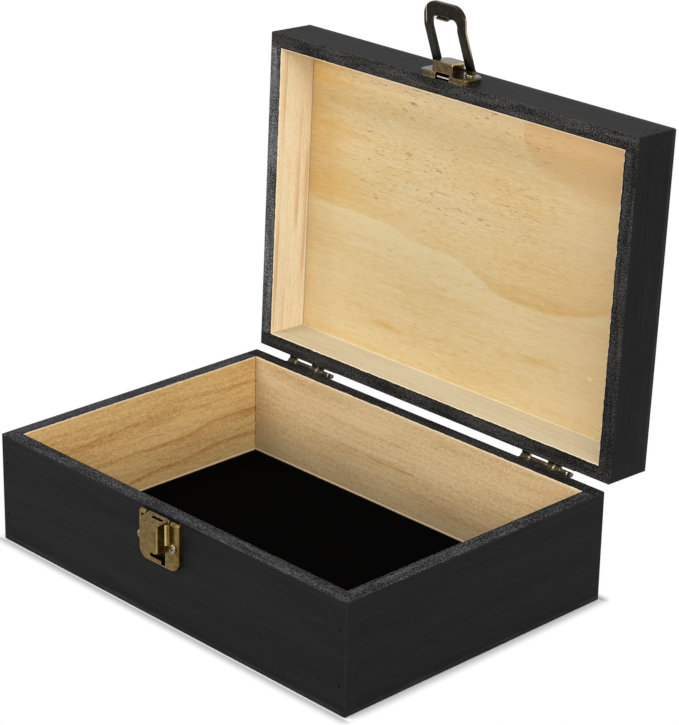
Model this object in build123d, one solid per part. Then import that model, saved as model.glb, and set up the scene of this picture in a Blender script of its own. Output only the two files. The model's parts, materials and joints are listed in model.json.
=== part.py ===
from build123d import *
import os

# Keepsake box: a pine box with a hinged lid, a toggle latch in front and two small butt hinges behind.
# Millimetres. +X runs along the front from left to right, +Y towards the hinges, +Z up.
# The origin is at the middle of the base's underside. The lid is modelled closed and then turned to its
# rest position, open against the heels of its hinges. The latch loop stands up from the open lid.

# ---- driving dimensions of the box
BOX_WIDTH = 254.0
BOX_DEPTH = 177.0
BASE_HEIGHT = 59.0
LID_HEIGHT = 27.7
BOARD = 8.0
BOTTOM_PANEL = 2.7
TOP_PANEL = 3.0
LINING = 0.6
LINING_GAP = 0.25
CLOSED_GAP = 0.3
CORNER_ROUND = 0.9
RIM_ROUND = 0.3
LID_OPEN_ANGLE = 92.1

# ---- corner pins: brads driven through the front and rear boards into the side boards
CORNER_PIN_RADIUS = 0.7
CORNER_PIN_LENGTH = 20.0
CORNER_PIN_SINK = 0.5
BASE_PIN_HEIGHTS = (15.0, 44.0)
LID_PIN_HEIGHTS = (9.0, 18.0)

# ---- hinges
HINGE_CENTRES = {"left": -86.15, "right": 86.15}
HINGE_LENGTH = 34.0
LEAF_THICKNESS = 1.0
LEAF_HEIGHT = 11.0
LEAF_CORNER = 1.8
LEAF_EDGE_GAP = 0.2
LEAF_NOTCH = 1.7
BARREL_RADIUS = 1.15
HINGE_PIN_RADIUS = 0.65
HINGE_PIN_CLEARANCE = 0.05
AXIS_OFFSET = 2.55
KNUCKLE_GAP = 0.2
HEEL_SIZE = 1.5
HEEL_GAP = 0.05
# spans along the barrel from its left end, and the leaf that each knuckle belongs to
KNUCKLES = (("lid", 0.0, 6.0), ("base", 6.0, 17.4), ("lid", 17.4, 26.4), ("base", 26.4, 34.0))
HINGE_SCREW_SPACING = 23.0
HINGE_SCREW_HEIGHT = 6.8
HINGE_SCREW_HEAD_RADIUS = 2.1
HINGE_SCREW_HEAD = 0.7
HINGE_SCREW_SHANK_RADIUS = 1.0
HINGE_SCREW_SHANK = 6.5

# ---- latch screws
LATCH_SCREW_X = 11.5
LATCH_SCREW_HEAD_RADIUS = 2.5
LATCH_SCREW_HEAD = 1.2
LATCH_SCREW_SHANK_RADIUS = 1.2
LATCH_SCREW_SHANK = 7.0

# ---- every screw
HEAD_ROUND_SHARE = 0.6
CROSS_LENGTH = 2.6
CROSS_WIDTH = 0.7
CROSS_DEPTH = 0.45

# ---- catch plate on the base's front; heights are measured from the rim, downwards negative
CATCH_CENTRE = -0.4
PLATE_HALF_WIDTH = 14.5
PLATE_TOP = -1.5
PLATE_BOTTOM = -27.6
PLATE_PROUD = 3.0
PLATE_TOP_CORNER = 1.2
PLATE_BOTTOM_CORNER = 6.0
PLATE_EDGE_ROUND = 1.8
CATCH_SCREW_HEIGHT = -14.3
BACK_GAP_HALF_WIDTH = 13.3
BACK_GAP_BOTTOM = -2.6
BACK_GAP_DEPTH = 1.4
VALLEY_INNER = 8.7
VALLEY_OUTER = 12.0
VALLEY_TOP = -3.0
VALLEY_BOTTOM = -11.2
VALLEY_FLOOR = 1.5
RIDGE_INNER = 7.0
RIDGE_TOP_PROUD = 4.6
RIDGE_BOTTOM = -13.8
SLIT_INNER = 7.9
SLIT_OUTER = 9.4
NOSE_ROOT_HALF_WIDTH = 7.4
NOSE_TOP_PROUD = 1.5
NOSE_TOP = -1.2
NOSE_HALF_WIDTH = 6.75
NOSE_PROUD = 9.0
NOSE_CREASE_HEIGHT = -2.5
NOSE_FACE_BOTTOM = -18.0
NOSE_ROOT_BOTTOM = -19.8
NOSE_LOW_CORNER = 2.5
NOSE_EDGE_ROUND = 1.0
NOSE_SHEET = 0.9
MOUTH_HALF_WIDTH = 5.8
MOUTH_BOTTOM = -26.2
LIP_RIGHT = 2.4
LIP_TOP = -24.4
LIP_SHEET = 1.1
SLOT_LEFT = -2.7
SLOT_RIGHT = 5.4
SLOT_FROM = 3.1
SLOT_TO = 5.1

# ---- bracket on the lid's front; heights are measured from the rim upwards with the lid closed
BRACKET_CENTRE = -2.3
BRACKET_HALF_WIDTH = 16.4
BRACKET_BOTTOM = 0.2
BRACKET_TOP = 16.0
BRACKET_PROUD = 3.0
BRACKET_LOW_CORNER = 4.5
BRACKET_HIGH_CORNER = 6.0
BRACKET_EDGE_ROUND = 1.0
BRACKET_SCREW_HEIGHT = 9.3
CAVITY_HALF_WIDTH = 8.0
CAVITY_BOTTOM = 1.6
CAVITY_TOP = 14.0
CAVITY_DEPTH = 2.1
BUMP_HALF_WIDTH = 6.95
BUMP_BOTTOM = 0.8
BUMP_TOP = 12.0
BUMP_PROUD = 9.0
BUMP_SHEET = 0.9
BUMP_FRONT_ROUND = 0.5
BUMP_FAR_ROUND = 3.6
NOTCH_LEFT = -4.2
NOTCH_RIGHT = 5.6
NOTCH_PROUD = 3.5
SPRING_LEFT = -2.9
SPRING_RIGHT = 5.1
SPRING_THICKNESS = 0.6
SPRING_FRONT = 0.5
SPRING_FRONT_PROUD = 1.1
SPRING_BEND_TOP = 2.4
SPRING_BEND_BOTTOM = 6.4
SPRING_FAR = 13.5

# ---- latch loop; lengths are measured from its pivot
PIVOT_PROUD = 5.6
PIVOT_HEIGHT = 8.4
PIVOT_PIN_RADIUS = 0.8
PIVOT_CLEARANCE = 0.05
LOOP_SHIFT = 1.4
LOOP_LEAN_ANGLE = 21.6
LOOP_HALF_WIDTH = 13.9
LOOP_OPENING_HALF_WIDTH = 8.8
LOOP_LEG = 21.6
LOOP_BEND_ANGLE = 15.5
LOOP_BEND_RADIUS = 9.0
LOOP_FINGER_END = 11.7
LOOP_BAR = 7.6
LOOP_THICKNESS = 2.3
LOOP_OUTER_CORNER = 8.0
LOOP_INNER_CORNER = 3.2
LOOP_EDGE_ROUND = 0.45
LOOP_EYE_RADIUS = 1.35
TAB_HALF_WIDTH = 3.8
TAB_THICKNESS = 1.0
TAB_FOOT = 0.25
TAB_DROP = 0.1
TAB_REACH = 3.0

# ---- how far a cut runs past the faces that it opens, and the distance below which two places are the same
OVERRUN = 1.0
SAME_PLACE = 0.001

# ---- derived positions
HINGE_SCREW = (HINGE_SCREW_HEAD_RADIUS, HINGE_SCREW_HEAD, HINGE_SCREW_SHANK_RADIUS, HINGE_SCREW_SHANK)
LATCH_SCREW = (LATCH_SCREW_HEAD_RADIUS, LATCH_SCREW_HEAD, LATCH_SCREW_SHANK_RADIUS, LATCH_SCREW_SHANK)
HALF_WIDTH = BOX_WIDTH / 2
HALF_DEPTH = BOX_DEPTH / 2
AXIS_Y = HALF_DEPTH + AXIS_OFFSET
AXIS_Z = BASE_HEIGHT + CLOSED_GAP / 2
LID_RIM = BASE_HEIGHT + CLOSED_GAP
LID_TOP = LID_RIM + LID_HEIGHT

base_front_plane = Plane(origin=(CATCH_CENTRE, -HALF_DEPTH, BASE_HEIGHT), x_dir=(1, 0, 0), z_dir=(0, -1, 0))
lid_front_plane = Plane(origin=(BRACKET_CENTRE, -HALF_DEPTH, LID_RIM), x_dir=(1, 0, 0), z_dir=(0, -1, 0))
lid_swing = Pos(0, AXIS_Y, AXIS_Z) * Rot(-LID_OPEN_ANGLE, 0, 0) * Pos(0, -AXIS_Y, -AXIS_Z)


def block(x0, x1, y0, y1, z0, z1):
    """A box between two corners."""
    size = (x1 - x0, y1 - y0, z1 - z0)
    return Pos((x0 + x1) / 2, (y0 + y1) / 2, (z0 + z1) / 2) * Box(*size)


def rod_along_x(radius, x0, x1, y, z):
    """A round rod from x0 to x1."""
    return Pos((x0 + x1) / 2, y, z) * Rot(0, 90, 0) * Cylinder(radius, x1 - x0)


def rod_along_y(radius, x, y0, y1, z):
    """A round rod from y0 to y1."""
    return Pos(x, (y0 + y1) / 2, z) * Rot(90, 0, 0) * Cylinder(radius, y1 - y0)


def rod_along_z(radius, x, y, z0, z1):
    """A round rod from z0 to z1."""
    return Pos(x, y, (z0 + z1) / 2) * Cylinder(radius, z1 - z0)


def profile_along_x(points, x0, x1):
    """A solid that runs from x0 to x1, with its profile given as points of y and z."""
    with BuildSketch(Plane(origin=(x0, 0, 0), x_dir=(0, 1, 0), z_dir=(1, 0, 0))) as sketch:
        with BuildLine():
            Polyline(*points, close=True)
        make_face()
    return extrude(sketch.sketch, x1 - x0)


def edges_on_line(shape, **where):
    """The straight edges of a shape that lie on a line or in a plane given by x, y or z values."""
    found = []
    for edge in shape.edges():
        ends = (edge @ 0, edge @ 1)
        distances = [
            abs(getattr(end, name.upper()) - value) for end in ends for name, value in where.items()
        ]
        if max(distances) < SAME_PLACE:
            found.append(edge)
    return found


def screw(head_radius, head_height, shank_radius, shank_length):
    """A cross-head screw with a domed head; its seat is at z = 0 and its shank points down."""
    head = rod_along_z(head_radius, 0, 0, 0, head_height)
    head = fillet(head.edges().sort_by(Axis.Z)[-1], head_height * HEAD_ROUND_SHARE)
    cross = Pos(0, 0, head_height - CROSS_DEPTH / 2)
    head -= cross * Box(CROSS_LENGTH, CROSS_WIDTH, CROSS_DEPTH)
    head -= cross * Box(CROSS_WIDTH, CROSS_LENGTH, CROSS_DEPTH)
    return head + rod_along_z(shank_radius, 0, 0, -shank_length, 0)


# ---- wooden boards and panels
def long_board(y_outer, y_inner, z0, z1, rim):
    """A front or rear board over the full width, with rounded outer corners and a rounded outer rim edge."""
    board = block(-HALF_WIDTH, HALF_WIDTH, min(y_outer, y_inner), max(y_outer, y_inner), z0, z1)
    corners = edges_on_line(board, x=-HALF_WIDTH, y=y_outer) + edges_on_line(board, x=HALF_WIDTH, y=y_outer)
    board = fillet(corners, CORNER_ROUND)
    outer = edges_on_line(board, y=y_outer, z=rim)
    return fillet(outer, RIM_ROUND)


def side_board(side, z0, z1, rim):
    """A left (-1) or right (+1) board between the front and rear boards."""
    inner = HALF_WIDTH - BOARD
    reach = HALF_DEPTH - BOARD
    x0, x1 = sorted((side * inner, side * HALF_WIDTH))
    board = block(x0, x1, -reach, reach, z0, z1)
    return fillet(edges_on_line(board, x=side * HALF_WIDTH, z=rim), RIM_ROUND)


def panel(z0, z1, outer_z):
    """A bottom or top panel that lies flush with the outer faces of the boards."""
    sheet = block(-HALF_WIDTH, HALF_WIDTH, -HALF_DEPTH, HALF_DEPTH, z0, z1)
    sheet = fillet(sheet.edges().filter_by(Axis.Z), CORNER_ROUND)
    flat_faces = sheet.faces().filter_by(Plane.XY).sort_by(Axis.Z)
    outer = flat_faces[0] if outer_z == z0 else flat_faces[-1]
    return fillet(outer.edges(), RIM_ROUND)


def corner_pins(heights):
    """The brads of one frame, two to a corner, in from the front and from the rear."""
    pins = []
    for side in (-1, 1):
        x = side * (HALF_WIDTH - BOARD / 2)
        for end in (-1, 1):
            outer = end * (HALF_DEPTH - CORNER_PIN_SINK)
            inner = outer - end * CORNER_PIN_LENGTH
            for height in heights:
                pins.append(rod_along_y(CORNER_PIN_RADIUS, x, min(outer, inner), max(outer, inner), height))
    return pins


def pin_holes(heights):
    """The holes that the brads leave in the boards, open to the outside."""
    holes = []
    for side in (-1, 1):
        x = side * (HALF_WIDTH - BOARD / 2)
        for end in (-1, 1):
            outer = end * (HALF_DEPTH + OVERRUN)
            inner = end * (HALF_DEPTH - CORNER_PIN_SINK - CORNER_PIN_LENGTH)
            for height in heights:
                holes.append(rod_along_y(CORNER_PIN_RADIUS, x, min(outer, inner), max(outer, inner), height))
    return holes


# ---- hinges
def hinge_start(name):
    """The x of a hinge's left end."""
    return HINGE_CENTRES[name] - HINGE_LENGTH / 2


def hinge_leaf(name, owner):
    """One leaf with its knuckles, on the rear faces of the closed box."""
    left = hinge_start(name)
    if owner == "base":
        z_edge = AXIS_Z - LEAF_EDGE_GAP
        z_far = z_edge - LEAF_HEIGHT
    else:
        z_edge = AXIS_Z + LEAF_EDGE_GAP
        z_far = z_edge + LEAF_HEIGHT
    z_low, z_high = sorted((z_edge, z_far))
    leaf = block(left, left + HINGE_LENGTH, HALF_DEPTH, HALF_DEPTH + LEAF_THICKNESS, z_low, z_high)
    corners = edges_on_line(leaf, x=left, z=z_far) + edges_on_line(leaf, x=left + HINGE_LENGTH, z=z_far)
    leaf = fillet(corners, LEAF_CORNER)
    for knuckle_owner, start, end in KNUCKLES:
        if knuckle_owner != owner:
            if owner == "lid":
                leaf -= leaf_notch(left + start, left + end)
            continue
        x0 = left + start + KNUCKLE_GAP / 2
        x1 = left + end - KNUCKLE_GAP / 2
        if owner == "base":
            neck = block(x0, x1, HALF_DEPTH, AXIS_Y, AXIS_Z - BARREL_RADIUS, z_edge)
        else:
            neck = block(x0, x1, HALF_DEPTH, AXIS_Y, z_edge, AXIS_Z + BARREL_RADIUS)
        leaf += neck
        leaf += rod_along_x(BARREL_RADIUS, x0, x1, AXIS_Y, AXIS_Z)
    for x, height in hinge_screw_spots(name):
        z = AXIS_Z - height if owner == "base" else AXIS_Z + height
        front, back = HALF_DEPTH - OVERRUN, HALF_DEPTH + LEAF_THICKNESS + OVERRUN
        leaf -= rod_along_y(HINGE_SCREW_SHANK_RADIUS, x, front, back, z)
    bore = HINGE_PIN_RADIUS
    if owner == "lid":
        bore += HINGE_PIN_CLEARANCE
        leaf = add_heels(leaf, left)
    return leaf - rod_along_x(bore, left - OVERRUN, left + HINGE_LENGTH + OVERRUN, AXIS_Y, AXIS_Z)


def leaf_notch(start, end):
    """The cut in the lid's leaf that leaves room for a knuckle of the base's leaf."""
    x0, x1 = start - KNUCKLE_GAP / 2, end + KNUCKLE_GAP / 2
    y0, y1 = HALF_DEPTH - OVERRUN, HALF_DEPTH + LEAF_THICKNESS + OVERRUN
    return block(x0, x1, y0, y1, AXIS_Z, AXIS_Z + LEAF_NOTCH)


def add_heels(leaf, left):
    """Square heels on the lid's knuckles: with the lid open they stand flat on the base's leaf."""
    closing = Pos(0, AXIS_Y, AXIS_Z) * Rot(LID_OPEN_ANGLE, 0, 0) * Pos(0, -AXIS_Y, -AXIS_Z)
    reach = AXIS_OFFSET - LEAF_THICKNESS - HEEL_GAP
    for owner, start, end in KNUCKLES:
        if owner == "lid":
            x0 = left + start + KNUCKLE_GAP / 2
            x1 = left + end - KNUCKLE_GAP / 2
            heel = block(x0, x1, AXIS_Y - reach, AXIS_Y, AXIS_Z - HEEL_SIZE, AXIS_Z)
            leaf += closing * heel
    return leaf


def hinge_screw_spots(name):
    """The x of each screw of a leaf and its distance from the hinge axis."""
    centre = HINGE_CENTRES[name]
    return [(centre + side * HINGE_SCREW_SPACING / 2, HINGE_SCREW_HEIGHT) for side in (-1, 1)]


def hinge_screws(owner):
    """The screws of both hinges on one side of the seam."""
    screws = []
    for name in HINGE_CENTRES:
        for x, height in hinge_screw_spots(name):
            z = AXIS_Z - height if owner == "base" else AXIS_Z + height
            seat = Plane(origin=(x, HALF_DEPTH + LEAF_THICKNESS, z), x_dir=(-1, 0, 0), z_dir=(0, 1, 0))
            screws.append(seat * screw(*HINGE_SCREW))
    return screws


def hinge_screw_holes(owner):
    """The holes of the hinge screws in a rear board."""
    holes = []
    for name in HINGE_CENTRES:
        for x, height in hinge_screw_spots(name):
            z = AXIS_Z - height if owner == "base" else AXIS_Z + height
            y_end = HALF_DEPTH + LEAF_THICKNESS - HINGE_SCREW_SHANK
            holes.append(rod_along_y(HINGE_SCREW_SHANK_RADIUS, x, y_end, HALF_DEPTH + OVERRUN, z))
    return holes


# ---- latch parts, in the plane of a front face: x along the face, y up, z outwards
def stamped_plate(half_width, heights, corners, proud, edge_round):
    """A plate between two heights, with its own radius at the lower and the upper corners."""
    low, high = heights
    outline = Pos(0, (low + high) / 2) * Rectangle(2 * half_width, high - low)
    outline = fillet(outline.vertices().sort_by(Axis.Y)[:2], corners[0])
    upper = outline.vertices().filter_by(lambda corner: abs(corner.Y - high) < SAME_PLACE)
    body = extrude(fillet(upper, corners[1]), proud)
    return fillet(body.faces().sort_by(Axis.Z)[-1].edges(), edge_round)


def side_block(side, near, far, heights, levels):
    """A block on the left (-1) or right (+1) of the latch's middle."""
    x0, x1 = sorted((side * near, side * far))
    return block(x0, x1, *heights, *levels)


def plate_screw_holes(y, proud):
    """The through holes of the two screws of a latch plate."""
    low, high = -OVERRUN, proud + OVERRUN
    return [rod_along_z(LATCH_SCREW_SHANK_RADIUS, side * LATCH_SCREW_X, y, low, high) for side in (-1, 1)]


def latch_screw_pair(plane, y, proud):
    """Two screws with their heads on a latch plate."""
    return [plane * Pos(side * LATCH_SCREW_X, y, proud) * screw(*LATCH_SCREW) for side in (-1, 1)]


def board_screw_holes(plane, y, proud):
    """The holes of a latch plate's screws in the board behind it."""
    depth = LATCH_SCREW_SHANK - proud
    hole = rod_along_z(LATCH_SCREW_SHANK_RADIUS, 0, 0, -depth, OVERRUN)
    return [plane * Pos(side * LATCH_SCREW_X, y, 0) * hole for side in (-1, 1)]


def nose_solid():
    """The solid form of the nose: it narrows from its root to its front face."""
    profile = (
        (NOSE_ROOT_BOTTOM, 0),
        (NOSE_TOP, 0),
        (NOSE_TOP, NOSE_TOP_PROUD),
        (NOSE_CREASE_HEIGHT, NOSE_PROUD),
        (NOSE_FACE_BOTTOM, NOSE_PROUD),
    )
    body = profile_along_x(profile, -NOSE_ROOT_HALF_WIDTH, NOSE_ROOT_HALF_WIDTH)
    with BuildSketch(Plane(origin=(0, NOSE_TOP, 0), x_dir=(1, 0, 0), z_dir=(0, -1, 0))) as sketch:
        with BuildLine():
            Polyline(
                (-NOSE_ROOT_HALF_WIDTH, 0),
                (NOSE_ROOT_HALF_WIDTH, 0),
                (NOSE_HALF_WIDTH, NOSE_PROUD),
                (-NOSE_HALF_WIDTH, NOSE_PROUD),
                close=True,
            )
        make_face()
    body = body & extrude(sketch.sketch, NOSE_TOP - NOSE_ROOT_BOTTOM)
    under = body.faces().sort_by(Axis.Y)[0]
    low_corners = [edge for edge in under.edges() if abs(edge.center().X) > NOSE_HALF_WIDTH]
    body = fillet(low_corners, NOSE_LOW_CORNER)
    front = body.faces().sort_by(Axis.Z)[-1]
    rim = [edge for edge in front.edges() if edge.center().Y < NOSE_CREASE_HEIGHT - OVERRUN]
    return fillet(rim, NOSE_EDGE_ROUND)


def ridge(side):
    """The ramp between the nose's flank and the plate, beside a valley."""
    near, far = side * RIDGE_INNER, side * VALLEY_INNER
    with BuildSketch(Plane(origin=(0, VALLEY_TOP, 0), x_dir=(1, 0, 0), z_dir=(0, -1, 0))) as sketch:
        with BuildLine():
            Polyline((near, 0), (far, 0), (far, PLATE_PROUD), (near, RIDGE_TOP_PROUD), close=True)
        make_face()
    return extrude(sketch.sketch, VALLEY_TOP - RIDGE_BOTTOM)


def catch_plate():
    """The stamped catch on the base: a plate with two valleys, and a hollow nose with a mouth below it."""
    corners = (PLATE_BOTTOM_CORNER, PLATE_TOP_CORNER)
    body = stamped_plate(PLATE_HALF_WIDTH, (PLATE_BOTTOM, PLATE_TOP), corners, PLATE_PROUD, PLATE_EDGE_ROUND)
    over_plate = PLATE_PROUD + OVERRUN
    valley_heights = (VALLEY_BOTTOM, VALLEY_TOP)
    for side in (-1, 1):
        body -= side_block(side, VALLEY_INNER, VALLEY_OUTER, valley_heights, (VALLEY_FLOOR, over_plate))
        body -= side_block(side, SLIT_INNER, SLIT_OUTER, (VALLEY_TOP, 0), (BACK_GAP_DEPTH / 2, over_plate))
        body += ridge(side)
    for hole in plate_screw_holes(CATCH_SCREW_HEIGHT, PLATE_PROUD):
        body -= hole
    body += nose_solid()
    crease_inside = NOSE_CREASE_HEIGHT - NOSE_SHEET
    front_inside = NOSE_PROUD - NOSE_SHEET
    body -= block(-MOUTH_HALF_WIDTH, MOUTH_HALF_WIDTH, MOUTH_BOTTOM, crease_inside, -OVERRUN, front_inside)
    body -= block(-BACK_GAP_HALF_WIDTH, BACK_GAP_HALF_WIDTH, BACK_GAP_BOTTOM, 0, -OVERRUN, BACK_GAP_DEPTH)
    body -= block(SLOT_LEFT, SLOT_RIGHT, crease_inside - OVERRUN, 0, SLOT_FROM, SLOT_TO)
    lip = block(-MOUTH_HALF_WIDTH, LIP_RIGHT, MOUTH_BOTTOM, LIP_TOP, PLATE_PROUD - LIP_SHEET, PLATE_PROUD)
    return body + lip


def bump_solid():
    """The box of the bracket, round at its far corners."""
    bump = block(-BUMP_HALF_WIDTH, BUMP_HALF_WIDTH, BUMP_BOTTOM, BUMP_TOP, 0, BUMP_PROUD)
    upright = bump.edges().filter_by(Axis.Z).sort_by(Axis.Y)
    bump = fillet(upright[2:], BUMP_FAR_ROUND)
    front = edges_on_line(bump, x=-BUMP_HALF_WIDTH, y=BUMP_BOTTOM) + edges_on_line(
        bump, x=BUMP_HALF_WIDTH, y=BUMP_BOTTOM
    )
    bump = fillet(front, BUMP_FRONT_ROUND)
    return fillet(bump.faces().sort_by(Axis.Z)[-1].edges(), BUMP_FRONT_ROUND)


def bracket():
    """The stamped bracket on the lid: a plate with a hollow box that holds the loop's pivot pin."""
    corners = (BRACKET_LOW_CORNER, BRACKET_HIGH_CORNER)
    heights = (BRACKET_BOTTOM, BRACKET_TOP)
    body = stamped_plate(BRACKET_HALF_WIDTH, heights, corners, BRACKET_PROUD, BRACKET_EDGE_ROUND)
    for hole in plate_screw_holes(BRACKET_SCREW_HEIGHT, BRACKET_PROUD):
        body -= hole
    body += bump_solid()
    inner_x = BUMP_HALF_WIDTH - BUMP_SHEET
    inner_top = BUMP_TOP - BUMP_FAR_ROUND
    body -= block(-inner_x, inner_x, BUMP_BOTTOM + BUMP_SHEET, inner_top, -OVERRUN, BUMP_PROUD - BUMP_SHEET)
    body -= block(-CAVITY_HALF_WIDTH, CAVITY_HALF_WIDTH, CAVITY_BOTTOM, CAVITY_TOP, -OVERRUN, CAVITY_DEPTH)
    notch_low, notch_high = BRACKET_BOTTOM - OVERRUN, CAVITY_BOTTOM + OVERRUN
    body -= block(NOTCH_LEFT, NOTCH_RIGHT, notch_low, notch_high, -OVERRUN, NOTCH_PROUD)
    reach = BUMP_HALF_WIDTH + OVERRUN
    return body - rod_along_x(PIVOT_PIN_RADIUS, -reach, reach, PIVOT_HEIGHT, PIVOT_PROUD)


def spring_plate():
    """The spring strip inside the bracket: flat on the lid, bent up at its front end."""
    top = SPRING_FRONT_PROUD + SPRING_THICKNESS
    profile = (
        (SPRING_FAR, 0),
        (SPRING_FAR, SPRING_THICKNESS),
        (SPRING_BEND_BOTTOM, SPRING_THICKNESS),
        (SPRING_BEND_TOP, top),
        (SPRING_FRONT, top),
        (SPRING_FRONT, SPRING_FRONT_PROUD),
        (SPRING_BEND_TOP, SPRING_FRONT_PROUD),
        (SPRING_BEND_BOTTOM, 0),
    )
    return profile_along_x(profile, SPRING_LEFT, SPRING_RIGHT)


def loop_bar_part(length):
    """The flat finger end of the loop: a bar with rounded corners and the ends of both legs."""
    bar_edge = length - LOOP_BAR
    outline = Pos(0, length / 2) * Rectangle(2 * LOOP_HALF_WIDTH, length)
    outline = fillet(outline.vertices().sort_by(Axis.Y)[-2:], LOOP_OUTER_CORNER)
    opening = Pos(0, bar_edge / 2) * Rectangle(2 * LOOP_OPENING_HALF_WIDTH, bar_edge)
    opening = fillet(opening.vertices().sort_by(Axis.Y)[-2:], LOOP_INNER_CORNER)
    sheet = extrude(outline - opening, LOOP_THICKNESS / 2, both=True)
    rims = sheet.faces().sort_by(Axis.Z)[0].edges() + sheet.faces().sort_by(Axis.Z)[-1].edges()
    rims = [edge for edge in rims if max((edge @ 0).Y, (edge @ 1).Y) > SAME_PLACE]
    return fillet(rims, LOOP_EDGE_ROUND)


def loop_leg(side):
    """One leg of the loop from its eye to the end of the bend."""
    width = LOOP_HALF_WIDTH - LOOP_OPENING_HALF_WIDTH
    middle = side * (LOOP_HALF_WIDTH + LOOP_OPENING_HALF_WIDTH) / 2
    section = Plane(origin=(middle, LOOP_LEG, 0), x_dir=(1, 0, 0), z_dir=(0, 1, 0)) * RectangleRounded(
        width, LOOP_THICKNESS, LOOP_EDGE_ROUND
    )
    centre = Axis((0, LOOP_LEG, -LOOP_BEND_RADIUS), (1, 0, 0))
    return extrude(section, -LOOP_LEG) + revolve(section, centre, -LOOP_BEND_ANGLE)


def loop():
    """The latch loop, with its pivot at the origin, its legs along y and its rear towards +z."""
    bend = Pos(0, LOOP_LEG, -LOOP_BEND_RADIUS) * Rot(-LOOP_BEND_ANGLE, 0, 0) * Pos(0, 0, LOOP_BEND_RADIUS)
    sheet = bend * loop_bar_part(LOOP_FINGER_END) + loop_leg(-1) + loop_leg(1)
    for side in (-1, 1):
        x0, x1 = sorted((side * LOOP_OPENING_HALF_WIDTH, side * LOOP_HALF_WIDTH))
        sheet += rod_along_x(LOOP_EYE_RADIUS, x0, x1, 0, 0)
    reach = LOOP_HALF_WIDTH + OVERRUN
    sheet -= rod_along_x(PIVOT_PIN_RADIUS + PIVOT_CLEARANCE, -reach, reach, 0, 0)
    bar_edge = (bend * Pos(0, LOOP_FINGER_END - LOOP_BAR, 0)).position
    return sheet + loop_tab(bar_edge.Y, bar_edge.Z)


def loop_tab(bar_edge, root):
    """The tongue at the bar's inner edge, bent to the rear so that it hooks under the nose."""
    tip = bar_edge - TAB_DROP
    profile = (
        (bar_edge + TAB_THICKNESS, root),
        (bar_edge - TAB_FOOT, root),
        (tip, root + TAB_REACH - TAB_FOOT),
        (tip + TAB_THICKNESS, root + TAB_REACH),
    )
    return profile_along_x(profile, -TAB_HALF_WIDTH, TAB_HALF_WIDTH)


# ---- assembly
def cut_all(body, cuts):
    """A body less each of the cuts."""
    for cut in cuts:
        body -= cut
    return body


def base_nodes():
    """Every piece that is fixed to the base."""
    z0, z1 = BOTTOM_PANEL, BASE_HEIGHT
    pins = pin_holes(BASE_PIN_HEIGHTS)
    inner = HALF_DEPTH - BOARD
    front = long_board(-HALF_DEPTH, -inner, z0, z1, z1)
    rear = long_board(HALF_DEPTH, inner, z0, z1, z1)
    catch_holes = board_screw_holes(base_front_plane, CATCH_SCREW_HEIGHT, PLATE_PROUD)
    nodes = {
        "base_front_board": cut_all(front, pins + catch_holes),
        "base_rear_board": cut_all(rear, pins + hinge_screw_holes("base")),
        "base_left_board": cut_all(side_board(-1, z0, z1, z1), pins),
        "base_right_board": cut_all(side_board(1, z0, z1, z1), pins),
        "base_bottom_panel": panel(0, BOTTOM_PANEL, 0),
        "base_corner_pins": corner_pins(BASE_PIN_HEIGHTS),
        "catch_plate": base_front_plane * catch_plate(),
        "catch_screws": latch_screw_pair(base_front_plane, CATCH_SCREW_HEIGHT, PLATE_PROUD),
        "base_hinge_screws": hinge_screws("base"),
    }
    lining_x = HALF_WIDTH - BOARD - LINING_GAP
    lining_y = HALF_DEPTH - BOARD - LINING_GAP
    nodes["velvet_lining"] = block(
        -lining_x, lining_x, -lining_y, lining_y, BOTTOM_PANEL, BOTTOM_PANEL + LINING
    )
    for name in HINGE_CENTRES:
        left = hinge_start(name)
        nodes[f"hinge_{name}_base_leaf"] = hinge_leaf(name, "base")
        nodes[f"hinge_{name}_pin"] = rod_along_x(HINGE_PIN_RADIUS, left, left + HINGE_LENGTH, AXIS_Y, AXIS_Z)
    return nodes


def lid_nodes():
    """Every piece that is fixed to the lid, still closed."""
    z0, z1 = LID_RIM, LID_TOP - TOP_PANEL
    heights = [LID_RIM + height for height in LID_PIN_HEIGHTS]
    pins = pin_holes(heights)
    inner = HALF_DEPTH - BOARD
    front = long_board(-HALF_DEPTH, -inner, z0, z1, z0)
    rear = long_board(HALF_DEPTH, inner, z0, z1, z0)
    pin_start, pin_end = LOOP_SHIFT - LOOP_HALF_WIDTH, LOOP_SHIFT + LOOP_HALF_WIDTH
    pivot_pin = rod_along_x(PIVOT_PIN_RADIUS, pin_start, pin_end, PIVOT_HEIGHT, PIVOT_PROUD)
    bracket_holes = board_screw_holes(lid_front_plane, BRACKET_SCREW_HEIGHT, BRACKET_PROUD)
    nodes = {
        "lid_front_board": cut_all(front, pins + bracket_holes),
        "lid_rear_board": cut_all(rear, pins + hinge_screw_holes("lid")),
        "lid_left_board": cut_all(side_board(-1, z0, z1, z0), pins),
        "lid_right_board": cut_all(side_board(1, z0, z1, z0), pins),
        "lid_top_panel": panel(z1, LID_TOP, LID_TOP),
        "lid_corner_pins": corner_pins(heights),
        "lid_hinge_screws": hinge_screws("lid"),
        "latch_bracket": lid_front_plane * bracket(),
        "latch_screws": latch_screw_pair(lid_front_plane, BRACKET_SCREW_HEIGHT, BRACKET_PROUD),
        "latch_spring_plate": lid_front_plane * spring_plate(),
        "latch_pivot_pin": lid_front_plane * pivot_pin,
    }
    for name in HINGE_CENTRES:
        nodes[f"hinge_{name}_lid_leaf"] = hinge_leaf(name, "lid")
    return nodes


def loop_nodes():
    """The latch loop at its pivot on the closed lid, leaning towards the rim."""
    lean = Pos(LOOP_SHIFT, PIVOT_HEIGHT, PIVOT_PROUD) * Rot(90 + LOOP_LEAN_ANGLE, 0, 0)
    return {"latch_loop": lid_front_plane * lean * loop()}


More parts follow.
